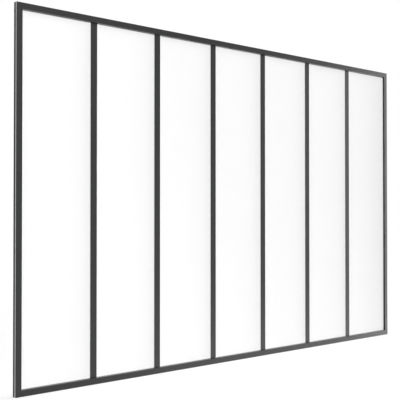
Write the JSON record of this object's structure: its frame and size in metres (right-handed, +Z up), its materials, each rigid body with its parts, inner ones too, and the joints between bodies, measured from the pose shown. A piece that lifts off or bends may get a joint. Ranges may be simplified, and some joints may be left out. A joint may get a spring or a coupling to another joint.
{
  "type": "interior glass partition",
  "caption": "Fixed interior partition of tall clear glass panes in a slim dark aluminium frame with vertical mullions, glazed with beads from the back.",
  "frame": {"origin": "centre of the underside of the bottom rail", "axes": "+X along the width to the right of the front, +Y to the back of the glass, +Z up"},
  "size_m": [2.13, 0.0196, 1.33],
  "materials": {
    "frame_paint": "fine-texture matt powder coat on aluminium",
    "bead_paint": "fine-texture matt powder coat on aluminium",
    "clear_glass": "clear toughened float glass",
    "gasket_rubber": "black glazing rubber",
    "block_plastic": "black plastic setting blocks",
    "seal_strip": "light grey soft plastic strip"
  },
  "bodies": {
    "root": {"top_rail": "frame_paint", "bottom_rail": "frame_paint", "left_stile": "frame_paint", "right_stile": "frame_paint", "mullion_1": "frame_paint", "mullion_2": "frame_paint", "mullion_3": "frame_paint", "mullion_4": "frame_paint", "mullion_5": "frame_paint", "mullion_6": "frame_paint", "glass_pane_1": "clear_glass", "glass_pane_2": "clear_glass", "glass_pane_3": "clear_glass", "glass_pane_4": "clear_glass", "glass_pane_5": "clear_glass", "glass_pane_6": "clear_glass", "glass_pane_7": "clear_glass", "gasket_1": "gasket_rubber", "gasket_2": "gasket_rubber", "gasket_3": "gasket_rubber", "gasket_4": "gasket_rubber", "gasket_5": "gasket_rubber", "gasket_6": "gasket_rubber", "gasket_7": "gasket_rubber", "setting_blocks": "block_plastic", "top_bead": "bead_paint", "bottom_bead": "bead_paint", "left_bead": "bead_paint", "right_bead": "bead_paint", "mullion_cover_1": "bead_paint", "mullion_cover_2": "bead_paint", "mullion_cover_3": "bead_paint", "mullion_cover_4": "bead_paint", "mullion_cover_5": "bead_paint", "mullion_cover_6": "bead_paint", "top_seal": "seal_strip", "bottom_seal": "seal_strip", "left_seal": "seal_strip", "right_seal": "seal_strip"}
  },
  "joints": []
}
